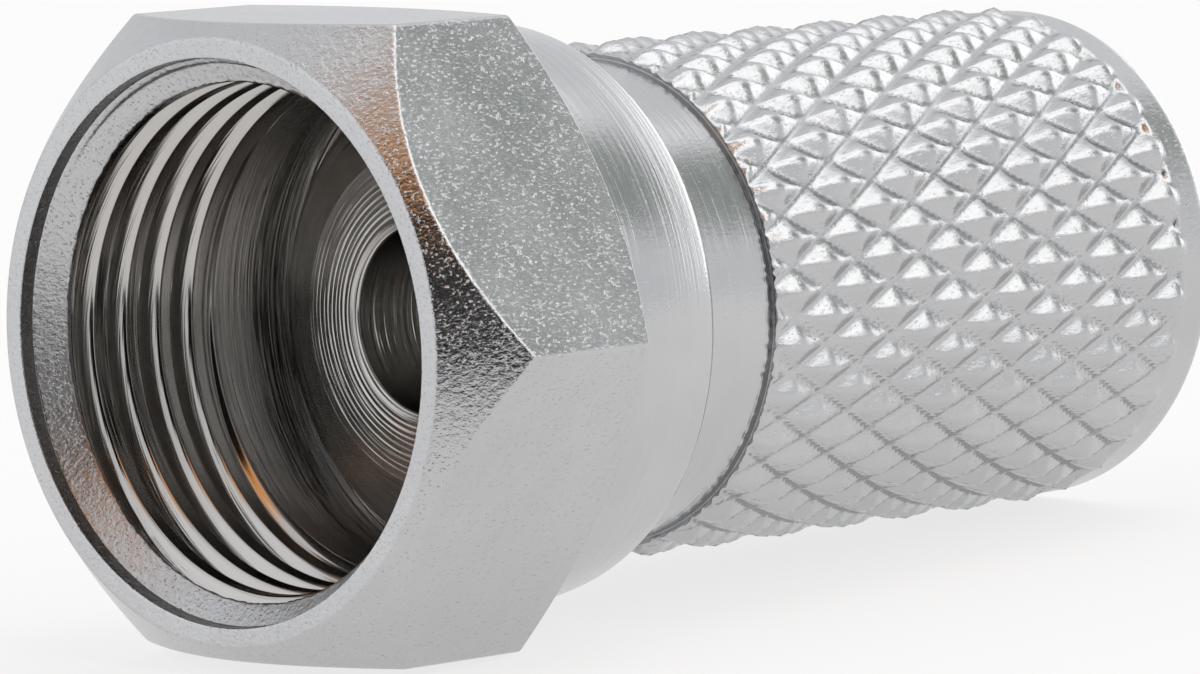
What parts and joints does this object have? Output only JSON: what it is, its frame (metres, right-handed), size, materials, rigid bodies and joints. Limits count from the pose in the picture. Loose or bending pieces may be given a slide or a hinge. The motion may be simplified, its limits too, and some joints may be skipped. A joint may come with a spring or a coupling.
{
  "type": "twist-on F connector plug",
  "caption": "Twist-on coaxial plug: a threaded hexagon coupling nut that swivels on a diamond-knurled, cable-gripping sleeve.",
  "frame": {"origin": "centre of the coupling thread at its mouth, 0.7 mm inside the nut's front rim", "axes": "+X along the axis towards the cable end, +Z normal to the upper spanner flat, +Y to the left seen from the front"},
  "size_m": [0.0212, 0.0126, 0.011],
  "materials": {
    "nickel_nut": "bright nickel plate over turned brass, lightly tumbled",
    "nickel_sleeve": "bright nickel plate over turned and knurled brass"
  },
  "bodies": {
    "nut": {"coupling_nut": "nickel_nut"},
    "sleeve": {"knurled_sleeve": "nickel_sleeve"}
  },
  "joints": [
    {"name": "swivel", "type": "hinge", "parent": "nut", "child": "sleeve", "pos_m": [0.006, 0, 0], "axis": [1, 0, 0], "continuous": true}
  ]
}
